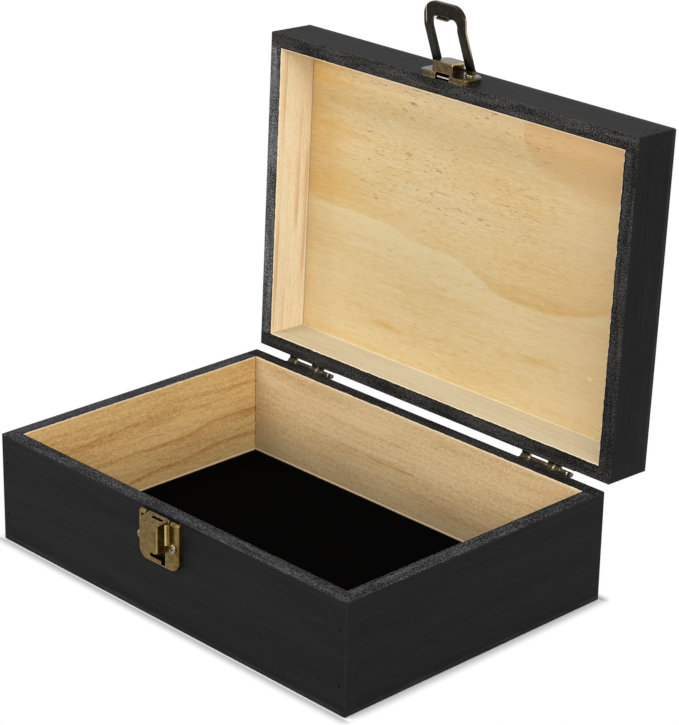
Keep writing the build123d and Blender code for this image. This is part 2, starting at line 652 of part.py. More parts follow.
def main():
    """Write one STEP file for each node."""
    nodes = base_nodes()
    for name, shape in {**lid_nodes(), **loop_nodes()}.items():
        if isinstance(shape, list):
            nodes[name] = [lid_swing * piece for piece in shape]
        else:
            nodes[name] = lid_swing * shape
    os.makedirs("parts", exist_ok=True)
    for name, shape in nodes.items():
        body = Compound(children=shape) if isinstance(shape, list) else shape
        export_step(body, f"parts/{name}.step")


main()
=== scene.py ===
import json
import math

import bmesh
import bpy
from mathutils import Matrix, Vector, noise


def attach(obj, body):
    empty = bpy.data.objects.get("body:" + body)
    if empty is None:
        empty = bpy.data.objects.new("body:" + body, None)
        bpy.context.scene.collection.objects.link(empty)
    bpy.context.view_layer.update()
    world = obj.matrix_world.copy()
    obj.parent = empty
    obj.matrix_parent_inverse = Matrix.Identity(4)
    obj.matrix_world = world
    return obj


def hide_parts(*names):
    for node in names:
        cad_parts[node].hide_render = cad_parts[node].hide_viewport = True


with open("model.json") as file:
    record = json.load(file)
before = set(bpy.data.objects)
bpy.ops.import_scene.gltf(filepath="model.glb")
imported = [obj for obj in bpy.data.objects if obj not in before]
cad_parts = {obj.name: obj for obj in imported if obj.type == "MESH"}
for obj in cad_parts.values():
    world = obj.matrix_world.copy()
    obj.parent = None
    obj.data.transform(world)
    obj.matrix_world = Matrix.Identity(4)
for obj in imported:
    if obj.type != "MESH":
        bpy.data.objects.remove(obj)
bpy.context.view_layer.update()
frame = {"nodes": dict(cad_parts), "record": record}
NODES = frame["nodes"]
BODIES = {node: body for body, nodes in frame["record"]["behaviour"]["bodies"].items() for node in nodes}

# ---- sizes of the box, in metres
MM = 0.001
HALF_WIDTH, HALF_DEPTH = 127.0 * MM, 88.5 * MM
BASE_RIM, LID_RIM, LID_CEILING = 59.0 * MM, 59.3 * MM, 84.0 * MM
INNER_X, INNER_Y = 119.0 * MM, 80.5 * MM
VELVET_SIZE = (0.2375, 0.1605)
VELVET_LOW, VELVET_TOP = 2.7 * MM, 3.3 * MM
LID_ANGLE = math.radians(92.1)
LID_AXIS = Vector((0, 91.05, 59.15)) * MM

# ---- places of the metal parts, in millimetres with the lid closed
HINGE_STARTS = (-103.15, 69.15)
HINGE_RINGS = (6.0, 22.2, 31.2)
CATCH_X, BRACKET_X = -0.4, -2.3
SCREW_SPREAD, CATCH_SCREW_Z, BRACKET_SCREW_Z = 11.5, 44.7, 68.6
LOOP_PIVOT, LOOP_LEAN = (5.6, 8.4), math.radians(21.6)
LOOP_BEND = (22.8, math.tan(math.radians(15.5)))

# ---- the stage
FLOOR_DROP, FLOOR_HALF = 0.3 * MM, 6.0
SHADOW_REACH = 6.9 * MM
WHITE = (1, 1, 1, 1)

# ---- dark finishes, in linear light
SEAM_BLACK = (0.002, 0.002, 0.002, 1)
PATINA_AND_SHADE_BLACK = (0.006, 0.004, 0.002, 1)
STAIN_DARK, STAIN_LIGHT = (0.0018, 0.0018, 0.0019, 1), (0.0078, 0.0079, 0.0082, 1)
VELVET_DARK, VELVET_LIGHT = (0.0002, 0.0002, 0.0003, 1), (0.0008, 0.0008, 0.0010, 1)


def linear(red, green, blue):
    """A colour given as 0-255 display values, as linear light."""
    def one(value):
        value /= 255
        return value / 12.92 if value <= 0.04045 else ((value + 0.055) / 1.055) ** 2.4
    return (one(red), one(green), one(blue), 1.0)


# ---- node graphs
class Graph:
    """Builds the nodes of one material or world. A value may be a socket, a number or a vector."""

    def __init__(self, owner):
        owner.use_nodes = True
        self.tree = owner.node_tree
        self.tree.nodes.clear()

    def put(self, socket, value):
        if isinstance(value, bpy.types.NodeSocket):
            self.tree.links.new(value, socket)
        elif value is not None:
            socket.default_value = value

    def node(self, kind, **settings):
        """A new node with some of its settings changed."""
        made = self.tree.nodes.new(kind)
        for name, value in settings.items():
            setattr(made, name, value)
        return made

    def math(self, operation, a, b=None, c=None, clamp=False):
        made = self.node("ShaderNodeMath", operation=operation, use_clamp=clamp)
        for socket, value in zip(made.inputs, (a, b, c)):
            self.put(socket, value)
        return made.outputs[0]

    def add(self, *values):
        total = values[0]
        for value in values[1:]:
            total = self.math("ADD", total, value)
        return total

    def times(self, *values):
        total = values[0]
        for value in values[1:]:
            total = self.math("MULTIPLY", total, value)
        return total

    def less(self, a, b):
        return self.math("SUBTRACT", a, b)

    def absolute(self, value):
        return self.math("ABSOLUTE", value)

    def larger(self, a, b):
        return self.math("MAXIMUM", a, b)

    def smaller(self, a, b):
        return self.math("MINIMUM", a, b)

    def clamp(self, value):
        return self.math("ADD", value, 0.0, clamp=True)

    def swing(self, value, reach):
        """How far a noise stands from its middle value, times a reach."""
        return self.times(self.less(value, 0.5), reach)

    def smooth(self, value, low, high):
        """0 below low, 1 above high and an S-curve between them. With low above high it falls instead."""
        falls = not isinstance(low, bpy.types.NodeSocket) and low > high
        made = self.node("ShaderNodeMapRange", interpolation_type="SMOOTHSTEP")
        self.put(made.inputs["Value"], value)
        self.put(made.inputs["From Min"], high if falls else low)
        self.put(made.inputs["From Max"], low if falls else high)
        made.inputs["To Min"].default_value = 1.0 if falls else 0.0
        made.inputs["To Max"].default_value = 0.0 if falls else 1.0
        return made.outputs["Result"]

    def near(self, value, centre, half):
        """1 within half of the centre, falling to 0 over a fifth of a millimetre."""
        return self.smooth(self.absolute(self.less(value, centre)), half + 0.2, half)

    def noise(self, vector, scale=1.0, detail=2.0, roughness=0.5, distortion=0.0):
        made = self.node("ShaderNodeTexNoise")
        self.put(made.inputs["Vector"], vector)
        self.put(made.inputs["Scale"], scale)
        made.inputs["Detail"].default_value = detail
        made.inputs["Roughness"].default_value = roughness
        made.inputs["Distortion"].default_value = distortion
        return made.outputs["Fac"]

    def curve(self, value, points):
        """A smooth line through the points: the height of the line at a value along it."""
        low, high = points[0][0], points[-1][0]
        bottom = min(point[1] for point in points) - 1.0
        top = max(point[1] for point in points) + 1.0
        made = self.node("ShaderNodeFloatCurve")
        line = made.mapping.curves[0]
        for index, (at, height) in enumerate(points):
            spot = ((at - low) / (high - low), (height - bottom) / (top - bottom))
            if index == 0 or index == len(points) - 1:
                line.points[0 if index == 0 else -1].location = spot
            else:
                line.points.new(*spot)
        made.mapping.update()
        self.put(made.inputs["Value"], self.times(self.less(value, low), 1 / (high - low)))
        return self.add(self.times(made.outputs[0], top - bottom), bottom)

    def vector(self, x, y, z):
        made = self.node("ShaderNodeCombineXYZ")
        for socket, value in zip(made.inputs, (x, y, z)):
            self.put(socket, value)
        return made.outputs[0]

    def parts(self, vector):
        """The x, y and z of a vector."""
        split = self.node("ShaderNodeSeparateXYZ")
        self.put(split.inputs[0], vector)
        return tuple(split.outputs)

    def layer(self, first, first_scale, second, second_scale, depth):
        """A point on one flat layer of a noise, with a scale of its own in each direction."""
        return self.vector(self.times(first, first_scale), self.times(second, second_scale), depth)

    def stretch(self, lengthwise, crosswise, length, across, deep):
        """A point for a noise that is drawn out along the grain."""
        return self.layer(length, lengthwise, across, crosswise, self.times(deep, crosswise))

    def mix(self, factor, a, b, blend="MIX"):
        made = self.node("ShaderNodeMix", data_type="RGBA", blend_type=blend)
        self.put(made.inputs[0], factor)
        self.put(made.inputs[6], a)
        self.put(made.inputs[7], b)
        return made.outputs[2]

    def blend(self, factor, a, b):
        """A number between a and b."""
        return self.add(a, self.times(factor, self.less(b, a)))

    def place(self, body):
        """x, y and z in millimetres with the lid closed, so that a pattern keeps its place on a board."""
        spot = self.node("ShaderNodeTexCoord").outputs["Object"]
        if body != "base":
            turn = self.node("ShaderNodeVectorRotate", rotation_type="X_AXIS")
            self.put(turn.inputs["Vector"], spot)
            turn.inputs["Center"].default_value = LID_AXIS
            turn.inputs["Angle"].default_value = LID_ANGLE
            spot = turn.outputs[0]
        scaled = self.node("ShaderNodeVectorMath", operation="SCALE")
        self.put(scaled.inputs[0], spot)
        scaled.inputs["Scale"].default_value = 1 / MM
        return self.parts(scaled.outputs[0])

    def scaled(self, colour, factor):
        """A colour made lighter or darker by a factor."""
        return self.mix(1.0, colour, self.vector(factor, factor, factor), "MULTIPLY")

    def bump(self, height, distance, strength=1.0):
        made = self.node("ShaderNodeBump")
        made.inputs["Strength"].default_value = strength
        made.inputs["Distance"].default_value = distance
        self.put(made.inputs["Height"], height)
        return made.outputs["Normal"]

    def surface(self, colour, roughness, normal=None, **constants):
        """A Principled surface. The constants are set on its own sockets."""
        shader = self.node("ShaderNodeBsdfPrincipled")
        self.put(shader.inputs["Base Color"], colour)
        self.put(shader.inputs["Roughness"], roughness)
        self.put(shader.inputs["Normal"], normal)
        for name, value in constants.items():
            shader.inputs[name.replace("_", " ")].default_value = value
        self.finish(shader)

    def finish(self, shader, kind="ShaderNodeOutputMaterial"):
        """Joins the shader to a new output node."""
        output = self.node(kind)
        self.put(output.inputs["Surface"], shader.outputs[0])


def new_material(name):
    made = bpy.data.materials.new(name)
    return made, Graph(made)


def new_object(name, data):
    """An object of the scene made from a mesh, lamp or camera."""
    piece = bpy.data.objects.new(name, data)
    bpy.context.scene.collection.objects.link(piece)
    return piece


# ---- wood
def grain_axes(place, along):
    """The coordinates along a board's grain, across it on the wide face, and through its thickness."""
    x, y, z = place
    if along == "x":
        return x, z, y
    if along == "y":
        return y, z, x
    return x, y, z


def ring_line(g, length, across, points, slope, strength):
    """One growth ring drawn along a line: it darkens slowly on its lower side and ends sharply above."""
    above = g.less(across, g.curve(length, points))
    first, last = points[0][0], points[-1][0]
    ends = g.times(g.smooth(length, first, first + 9.0), g.smooth(length, last + 4.0, last))
    return g.times(g.smooth(above, -slope, -0.2), g.smooth(above, 0.45, 0.0), ends, strength)


def bare_pine(g, place, look):
    """Planed pine: growth rings as lines along the board, fine fibres, a few short dark flecks, and painted
    shade towards its foot.
    """
    length, across, deep = grain_axes(place, look["along"])
    seed = look["seed"]
    sway = g.noise(g.layer(length, 0.012, across, 0.022, seed), detail=1.5)
    drift = g.swing(sway, look["sway"])
    spread = g.times(g.add(across, drift, g.times(length, 0.02)), 1 / look["ring"])
    rings = g.add(spread, g.times(deep, 0.05), seed)
    saw = g.math("FRACT", rings)
    late = g.times(g.smooth(saw, 0.35, 0.93), g.smooth(saw, 1.0, 0.95))
    index = g.math("FLOOR", rings)
    weight = g.noise(g.vector(index, g.times(length, 0.009), seed), scale=1.7, detail=1.0)
    late = g.times(late, g.smooth(weight, 0.38, 0.68))
    minor_saw = g.math("FRACT", g.times(rings, 3.37))
    minor = g.times(g.smooth(minor_saw, 0.3, 0.9), g.smooth(minor_saw, 1.0, 0.92))
    fibre = g.noise(g.stretch(0.09, 1.3, length, across, deep), detail=4.0, roughness=0.75)
    grit = g.noise(g.stretch(0.6, 1.5, length, across, deep), detail=2.0, roughness=0.7)
    hair = g.noise(g.stretch(0.02, 0.9, length, across, deep), detail=3.0, roughness=0.6)
    cloud = g.noise(g.layer(length, 0.015, across, 0.06, seed + 3.1), detail=2.0)
    tone = g.add(
        g.times(late, look["late"]),
        g.times(minor, 0.12),
        g.swing(fibre, 1.1),
        g.swing(grit, look.get("grit", 1.4)),
        g.swing(hair, 0.6),
        g.swing(cloud, 0.8),
        0.2,
    )
    wavy = g.add(across, g.swing(fibre, 1.2), g.swing(sway, 4.0))
    for points, slope, strength in look.get("lines", ()):
        tone = g.add(tone, ring_line(g, length, wavy, points, slope, strength))
    colour = g.mix(g.clamp(tone), look["light"], look["dark"])
    dash = g.noise(g.layer(length, 0.16, across, 1.9, seed + 9.0), detail=1.0)
    spot = g.times(g.smooth(dash, 0.68, 0.76), look["fleck"])
    colour = g.mix(spot, colour, linear(140, 98, 55))
    # Painted shade: the colour darkens towards the floor of the box, down to the look's "low" factor.
    low = g.blend(g.smooth(place[2], 2.0, 40.0), look.get("low", 1.0), 1.0)
    return g.scaled(colour, low), fibre


# The growth ring across the ceiling and the edge of the patch in its corner, as (x, y) points.
CEILING_RING = (
    (-119.0, 3.0), (-100.0, 5.4), (-87.0, 4.9), (-65.0, 5.7), (-51.0, 7.5), (-42.0, 10.3), (-16.0, 11.3),
    (0.0, 14.6), (13.0, 19.2), (30.0, 24.2), (53.0, 24.3), (77.0, 20.7), (100.0, 12.6), (119.0, 5.0),
)
CEILING_PATCH = (
    (26.0, -92.0), (33.0, -72.0), (36.0, -58.0), (46.0, -50.0), (61.0, -44.0), (79.0, -41.5), (119.0, -42.0),
)
# Painted light on the ceiling along y, as (y, factor): the colour is made palest beside the front board,
# where the boards cast most shade on it.
CEILING_PAINTED_LIGHT = (
    (-80.5, 1.46), (-75.0, 1.46), (-72.0, 1.46), (-67.6, 1.43), (-61.0, 1.16), (-54.0, 0.96), (-47.0, 0.93),
    (-38.0, 0.97), (-28.0, 0.965), (-14.0, 0.945), (0.0, 0.98), (16.0, 0.965), (32.0, 0.995), (48.0, 1.025),
    (64.0, 1.047), (80.5, 1.06),
)
CEILING_PAINTED_LIGHT_MOST = 1.46


def veneer_flecks(g, x, y, ripple):
    """How strongly short dark flecks show: most of all in the middle of the veneer's front half."""
    fleck_y = g.add(y, g.times(x, -0.05), g.swing(ripple, 3.0))
    dash = g.noise(g.layer(x, 0.17, fleck_y, 1.6, 2.7), detail=1.5)
    fine = g.noise(g.layer(x, 0.3, fleck_y, 2.2, 7.9), detail=1.0)
    zone = g.noise(g.layer(x, 0.02, y, 0.05, 5.5), detail=2.0)
    dense = g.times(g.smooth(y, 20.0, -30.0), g.smooth(x, -105.0, -60.0), g.smooth(x, 75.0, 25.0))
    amount = g.times(g.add(0.25, g.times(dense, 0.75)), g.smooth(zone, 0.34, 0.56))
    spot = g.larger(g.smooth(dash, 0.645, 0.7), g.times(g.smooth(fine, 0.66, 0.72), 0.8))
    return g.times(spot, amount, 0.82)


def pin_knot(g, x, y):
    """The one pale pin knot, near the right rear corner of the veneer."""
    beside, behind = g.less(x, 89.0), g.less(y, 50.0)
    away = g.math("SQRT", g.add(g.times(beside, beside), g.times(behind, behind, 1.6)))
    return g.times(g.smooth(away, 2.6, 0.6), 0.7)


def ceiling_ply(g, place):
    """The rotary-cut veneer of the lid's ceiling: wide feathered bands with sharp lower edges, flecks, and
    painted light where the lid's boards shade it.
    """
    x, y, _ = place
    ripple = g.noise(g.layer(x, 0.05, y, 0.09, 4.2), detail=3.0, roughness=0.6)
    feather = g.noise(g.layer(x, 0.035, y, 0.5, 6.1), detail=4.0, roughness=0.65)
    streaks = g.noise(g.layer(x, 0.016, y, 0.28, 3.4), detail=4.0, roughness=0.6)
    fibre = g.noise(g.layer(x, 0.16, y, 1.1, 2.1), detail=3.0, roughness=0.7)
    y_wavy = g.add(y, g.swing(ripple, 2.2), g.swing(feather, 1.6))
    above = g.less(g.curve(x, CEILING_RING), y_wavy)
    near = g.times(g.smooth(above, -0.5, 1.3), g.math("EXPONENT", g.times(above, -0.07)))
    broad = g.times(g.smooth(above, -1.0, 2.0), g.math("EXPONENT", g.times(above, -0.035)))
    broad = g.times(broad, g.smooth(x, -40.0, 60.0))
    below = g.times(g.smooth(above, 0.5, -1.0), g.math("EXPONENT", g.times(above, 0.09)))
    patch = g.less(g.curve(x, CEILING_PATCH), y_wavy)
    corner = g.times(g.smooth(patch, -3.0, 5.0), g.smooth(x, 27.0, 38.0))
    streak_line = g.add(63.0, g.times(g.smooth(x, -45.0, 70.0), -12.0))
    streak = g.smooth(g.absolute(g.less(y_wavy, streak_line)), 3.6, 0.2)
    streak_patch = g.noise(g.layer(x, 0.03, y, 0.12, 8.8), detail=2.0)
    streak = g.times(streak, g.smooth(streak_patch, 0.4, 0.62))
    streak = g.times(streak, g.smooth(x, -75.0, -55.0), g.smooth(x, 95.0, 40.0))
    left = g.times(g.smooth(x, -72.0, -118.0), g.smooth(y, 16.0, -6.0))
    cloud = g.noise(g.layer(x, 0.011, y, 0.045, 1.3), detail=3.0, roughness=0.55)
    tone = g.add(
        g.times(near, 0.24),
        g.times(broad, 0.34),
        g.times(below, -0.2),
        g.times(streak, 0.55),
        g.times(left, g.add(0.35, g.swing(streaks, 0.8))),
        g.swing(cloud, 0.9),
        g.swing(streaks, 0.6),
        g.swing(feather, 0.7),
        g.swing(fibre, 1.5),
        0.26,
    )
    colour = g.mix(g.clamp(tone), linear(212, 193, 150), linear(201, 161, 94))
    yellow = g.times(g.smooth(x, -30.0, -118.0), g.smooth(streaks, 0.3, 0.7))
    yellow = g.times(yellow, g.blend(g.smooth(y, -10.0, 25.0), 0.4, 0.12))
    colour = g.mix(yellow, colour, linear(208, 176, 112))
    pinkish = g.times(g.smooth(x, 20.0, 110.0), 0.35)
    colour = g.mix(pinkish, colour, linear(206, 176, 136))
    colour = g.mix(g.times(corner, 0.52), colour, linear(205, 164, 108))
    pale = g.times(g.smooth(y, -60.0, -78.0), g.smooth(x, -100.0, -60.0), g.blend(corner, 0.8, 0.25))
    colour = g.mix(pale, colour, linear(214, 198, 166))
    # Painted light: the colour is scaled up along y and towards the left edge, to cancel the shade that the
    # lid's boards cast there.
    side_painted_light = g.add(g.blend(g.smooth(x, -119.0, -20.0), 1.03, 0.99), g.times(g.smooth(x, -101.0, -118.0), 0.17))
    painted_light_factor = g.smaller(g.times(g.curve(y, CEILING_PAINTED_LIGHT), side_painted_light), CEILING_PAINTED_LIGHT_MOST)
    colour = g.scaled(colour, painted_light_factor)
    colour = g.mix(veneer_flecks(g, x, y, ripple), colour, linear(122, 88, 54))
    colour = g.mix(pin_knot(g, x, y), colour, linear(228, 208, 164))
    return colour, feather


def black_stain(g, place, along, seed, grain=1.0):
    """Black stain on pine: a matte charcoal with the grain just showing. Its worn edges are made greyer in
    board_material.
    """
    length, across, deep = grain_axes(place, along)
    streak = g.noise(g.stretch(0.03, 0.9, length, across, deep), detail=4.0, roughness=0.6)
    band = g.noise(g.layer(length, 0.01, across, 0.11, seed), detail=2.0)
    pore = g.noise(g.stretch(0.2, 1.8, length, across, deep), detail=2.0)
    tone = g.add(
        0.5,
        g.swing(streak, 2.0 * grain),
        g.swing(band, 1.2),
        g.swing(pore, 0.8 * grain),
    )
    colour = g.mix(g.clamp(tone), STAIN_DARK, STAIN_LIGHT)
    return colour, g.add(g.times(streak, 0.7), g.times(pore, 0.5))


def near_edge(g, place, rim_z):
    """1 on the outer corners and rim edges of a frame of boards, 0 away from them."""
    x, y, z = place
    from_x = g.less(HALF_WIDTH / MM, g.absolute(x))
    from_y = g.less(HALF_DEPTH / MM, g.absolute(y))
    from_rim = g.absolute(g.less(z, rim_z))
    upright = g.larger(from_x, from_y)
    along_rim = g.larger(from_rim, g.smaller(from_x, from_y))
    return g.smooth(g.smaller(upright, along_rim), 1.1, 0.25)


def rim_finish(g, place, along, stain, look):
    """The sanded rim: dark stain with a fuzzy grey speckle, and a few brownish worn streaks."""
    length, across, deep = grain_axes(place, along)
    fuzz = g.noise(g.stretch(1.5, 2.7, length, across, deep), detail=2.0, roughness=0.6)
    drift = g.noise(g.layer(length, 0.035, deep, 0.3, 7.7), detail=3.0)
    low = g.blend(g.smooth(drift, 0.3, 0.7), 0.54, 0.46)
    speck = g.smooth(fuzz, low, g.add(low, 0.13))
    colour = g.mix(g.times(speck, look["speckle"]), linear(*look["ground"]), linear(*look["speck"]))
    worn = g.noise(g.layer(length, 0.04, deep, 0.9, 3.3), detail=3.0)
    colour = g.mix(g.times(g.smooth(worn, 0.58, 0.72), look["worn"]), colour, linear(104, 88, 70))
    return g.mix(0.12, colour, stain), fuzz


PLAIN_RIM = {"ground": (10, 10, 11), "speck": (112, 113, 117), "speckle": 0.85, "worn": 0.06}
REAR_RIM = {"ground": (6, 6, 6), "speck": (84, 82, 80), "speckle": 0.8, "worn": 0.1}
SIDE_RIM = {"ground": (34, 34, 40), "speck": (104, 104, 112), "speckle": 0.85, "worn": 0.05}
LID_RIM_LOOK = {"ground": (10, 10, 10), "speck": (108, 106, 103), "speckle": 0.85, "worn": 0.35}
LID_SIDE_RIM = {"ground": (10, 10, 10), "speck": (96, 95, 92), "speckle": 0.8, "worn": 0.2}
LID_LEFT_RIM = {"ground": (24, 24, 25), "speck": (172, 172, 174), "speckle": 0.9, "worn": 0.1}

# A board's "lines" are growth rings: (length, across) points, the width of the lower side and the strength.
# Its "low" is painted shade: the factor by which its colour is darkened at its foot.
PINE_LOOKS = {
    "base_front_board": {
        "along": "x", "seed": 5.3, "light": linear(222, 192, 140), "dark": linear(190, 142, 84), "ring": 9.0,
        "sway": 18.0, "late": 0.5, "fleck": 0.2, "rim": PLAIN_RIM, "ragged": 0.0,
    },
    "base_rear_board": {
        "along": "x", "seed": 1.7, "light": linear(228, 202, 155), "dark": linear(196, 154, 102),
        "ring": 13.0, "sway": 16.0, "late": 0.25, "fleck": 0.4, "rim": REAR_RIM, "low": 0.56, "grit": 2.2,
        "lines": ((((-32, 28.4), (-15, 27.6), (2, 27.9)), 0.8, 0.9),),
    },
    "base_left_board": {
        "along": "y", "seed": 8.9, "light": linear(236, 201, 138), "dark": linear(188, 133, 66), "ring": 16.5,
        "sway": 20.0, "late": 0.1, "fleck": 0.15, "rim": SIDE_RIM, "low": 0.74, "grit": 2.0,
        "lines": (
            (((-60, 26.2), (-34, 27), (0, 26.6), (27, 27), (54, 30), (84, 28.8)), 5.0, 0.42),
            (((-22, 8.6), (-10, 10), (10, 12.6), (33, 14), (54, 16.4), (84, 14.1)), 4.0, 0.42),
            (((30, 49.4), (55, 47.4), (84, 44.6)), 3.5, 0.35),
            (((-84, 33), (-60, 38.6), (-20, 42.6), (20, 43), (44, 40.5)), 5.0, 0.25),
        ),
    },
    "base_right_board": {
        "along": "y", "seed": 2.4, "light": linear(222, 190, 136), "dark": linear(188, 142, 86), "ring": 12.0,
        "sway": 20.0, "late": 0.5, "fleck": 0.2, "rim": PLAIN_RIM, "ragged": 0.0,
    },
    "lid_front_board": {
        "along": "x", "seed": 6.6, "light": linear(232, 206, 162), "dark": linear(206, 164, 112), "ring": 7.0,
        "sway": 8.0, "late": 0.4, "fleck": 0.2, "rim": LID_RIM_LOOK, "grain": 2.6, "edge": 0.24,
    },
    "lid_rear_board": {
        "along": "x", "seed": 3.8, "light": linear(206, 198, 172), "dark": linear(186, 166, 132), "ring": 6.0,
        "sway": 2.0, "late": 0.25, "fleck": 0.1, "rim": LID_RIM_LOOK,
    },
    "lid_left_board": {
        "along": "y", "seed": 7.2, "light": linear(246, 233, 201), "dark": linear(222, 190, 148), "ring": 6.5,
        "sway": 2.0, "late": 0.9, "fleck": 0.1, "rim": LID_LEFT_RIM,
    },
    "lid_right_board": {
        "along": "y", "seed": 4.1, "light": linear(234, 208, 166), "dark": linear(210, 170, 120), "ring": 7.5,
        "sway": 8.0, "late": 0.4, "fleck": 0.2, "rim": LID_SIDE_RIM,
    },
}


def inner_wood(g, node, place, look):
    """A board's bare side: a painted highlight along its rim, paler at its foot, with the joints to its
    neighbours.
    """
    _, y, z = place
    base = BODIES[node] == "base"
    pine, fibre = bare_pine(g, place, look)
    from_rim = g.absolute(g.less(z, (BASE_RIM if base else LID_RIM) / MM))
    # Painted highlight: a pale line along the rim's inner edge, where its rounding catches the light.
    pine = g.mix(g.times(g.smooth(from_rim, 1.1, 0.5), 0.75), pine, linear(255, 240, 208))
    if base:
        foot = VELVET_TOP / MM + 0.42
        pine = g.mix(g.times(g.near(z, foot, 0.2), 0.75), pine, linear(255, 234, 200))
    if node == "base_left_board":
        gap = g.noise(g.vector(g.times(z, 0.5), 1.0, 2.0), detail=1.0)
        joint = g.times(g.smooth(y, INNER_Y / MM - 0.75, INNER_Y / MM - 0.3), g.smooth(gap, 0.35, 0.5))
        pine = g.mix(g.times(joint, 0.75), pine, linear(92, 64, 36))
    if node == "lid_rear_board":
        pine = g.mix(g.times(g.near(z, LID_CEILING / MM - 0.5, 0.3), 0.6), pine, linear(250, 240, 214))
    if node == "lid_left_board":
        pine = g.mix(g.times(g.near(z, LID_CEILING / MM - 0.3, 0.2), 0.6), pine, linear(120, 96, 66))
    return pine, fibre


def board_material(node):
    """One board: bare pine towards the inside of the box, a sanded rim, and black stain everywhere else."""
    body = BODIES[node]
    made, g = new_material(f"stained_pine_{node}")
    place = g.place(body)
    x, y, z = place
    look = PINE_LOOKS[node]
    rim_z = (BASE_RIM if body == "base" else LID_RIM) / MM
    pine, fibre = inner_wood(g, node, place, look)
    stain, stain_bump = black_stain(g, place, look["along"], look["seed"], look.get("grain", 1.0))
    wear = g.times(near_edge(g, place, rim_z), g.smooth(fibre, 0.35, 0.7), 0.22)
    # Painted shade: the right boards' stain is darkened by 0.82, as the box's right side gets less light.
    stain = g.mix(wear, g.scaled(stain, 0.82 if "right" in node else 1.0), linear(84, 84, 86))
    rim, fuzz = rim_finish(g, place, look["along"], stain, look["rim"])
    on_rim = g.smooth(g.absolute(g.less(z, rim_z)), 0.3, 0.12)
    past_x = g.less(g.absolute(x), INNER_X / MM)
    past_y = g.less(g.absolute(y), INNER_Y / MM)
    in_from_edge = g.larger(past_x, past_y)
    rim = g.mix(g.times(g.smooth(in_from_edge, 1.2, 0.5), 0.7), rim, SEAM_BLACK)
    outside = g.mix(on_rim, stain, rim)
    ragged = g.noise(g.vector(g.times(x, 0.35), g.times(y, 0.35), g.times(z, 0.35)), detail=3.0)
    margin = g.add(g.times(g.less(ragged, 0.28), look.get("ragged", 1.1)), -0.1)
    margin = g.larger(margin, look.get("edge", 0.025))
    inside = g.smooth(g.less(in_from_edge, margin), 0.02, -0.02)
    colour = g.mix(inside, outside, pine)
    height = g.blend(inside, g.blend(on_rim, stain_bump, g.times(fuzz, 3.0)), g.times(fibre, 0.5))
    normal = g.bump(height, 0.12 * MM, 0.6)
    roughness = g.blend(inside, g.blend(on_rim, 0.62, 0.9), 0.55)
    g.surface(colour, roughness, normal, Specular_IOR_Level=0.11)
    return made


BOTTOM_LOOK = {
    "along": "panel", "seed": 9.4, "light": linear(222, 196, 150), "dark": linear(196, 150, 96), "ring": 18.0,
    "sway": 30.0, "late": 0.5, "fleck": 0.4,
}


def panel_material(node):
    """The plywood bottom and top: bare or stained by side, with the plies showing at the edges."""
    body = BODIES[node]
    made, g = new_material(f"stained_plywood_{node}")
    place = g.place(body)
    x, y, z = place
    stain, stain_bump = black_stain(g, place, "panel", 2.2)
    ply = g.noise(g.vector(g.times(x, 0.05), g.times(y, 0.05), g.times(z, 1.2)), detail=2.0)
    from_x = g.less(HALF_WIDTH / MM, g.absolute(x))
    from_y = g.less(HALF_DEPTH / MM, g.absolute(y))
    at_edge = g.smooth(g.smaller(from_x, from_y), 0.3, 0.1)
    stain = g.mix(g.times(at_edge, g.smooth(ply, 0.45, 0.6), 0.3), stain, linear(58, 56, 54))
    if body == "base":
        inner, fibre = bare_pine(g, place, BOTTOM_LOOK)
        inside = g.smooth(z, 2.6, 2.68)
    else:
        inner, fibre = ceiling_ply(g, place)
        inside = g.smooth(z, LID_CEILING / MM + 0.1, LID_CEILING / MM + 0.02)
    over_x = g.less(g.absolute(x), INNER_X / MM + 0.1)
    over_y = g.less(g.absolute(y), INNER_Y / MM + 0.1)
    inside = g.times(inside, g.smooth(g.larger(over_x, over_y), 0.05, -0.05))
    colour = g.mix(inside, stain, inner)
    height = g.blend(inside, stain_bump, g.times(fibre, 0.4))
    normal = g.bump(height, 0.1 * MM, 0.6)
    g.surface(colour, g.blend(inside, 0.62, 0.5), normal, Specular_IOR_Level=0.14)
    return made


# ---- metal
# A marks function says where brass gets a painted highlight (above 0) and where it gets painted shade (below
# 0).
# Its places are in millimetres: out is from the front face and up is from the rim.
def hinge_marks(g, place):
    """Painted highlights on three rings round both hinge barrels; the cap at their right end is dark."""
    x = place[0]
    local = g.less(x, HINGE_STARTS[0])
    local = g.less(local, g.times(g.math("GREATER_THAN", x, 0.0), HINGE_STARTS[1] - HINGE_STARTS[0]))
    rings = [g.near(local, ring, 0.3) for ring in HINGE_RINGS]
    lit = g.larger(g.larger(rings[0], rings[1]), rings[2])
    return g.less(g.times(lit, 1.2), g.smooth(local, 31.4, 31.8))


def catch_marks(g, place):
    """Painted highlights on the ridges beside the catch's nose, on the nose's right front corner and on the
    plate's right end;
    painted shade on the crease at the nose's top, on its top face and on its right side.
    """
    x, y, z = place
    out, up = g.less(-HALF_DEPTH / MM, y), g.less(z, BASE_RIM / MM)
    ridge = g.times(g.near(g.absolute(g.less(x, CATCH_X)), 7.7, 0.5), g.smooth(out, 3.6, 4.2))
    corner = g.times(g.near(x, 5.9, 0.35), g.smooth(out, 8.4, 8.8), g.smooth(up, -3.4, -4.4))
    margin = g.times(g.smooth(x, 11.4, 12.6), g.smooth(up, -14.0, -9.0))
    top = g.times(g.smooth(up, -2.4, -2.0), g.smooth(out, 1.6, 2.2))
    crease = g.times(g.near(up, -2.6, 0.15), g.smooth(out, 8.2, 8.6))
    # The nose's side that faces right gets painted shade, chosen by the direction the surface faces.
    to_right = g.parts(g.node("ShaderNodeNewGeometry").outputs["Normal"])[0]
    side = g.times(g.smooth(to_right, 0.6, 0.85), g.smooth(x, 8.0, 7.6), g.smooth(out, 1.4, 2.0))
    lit = g.add(g.times(ridge, 0.95), g.times(corner, 0.35), g.times(margin, 0.16), g.times(top, -0.14))
    return g.less(lit, g.add(crease, g.times(side, 0.3)))


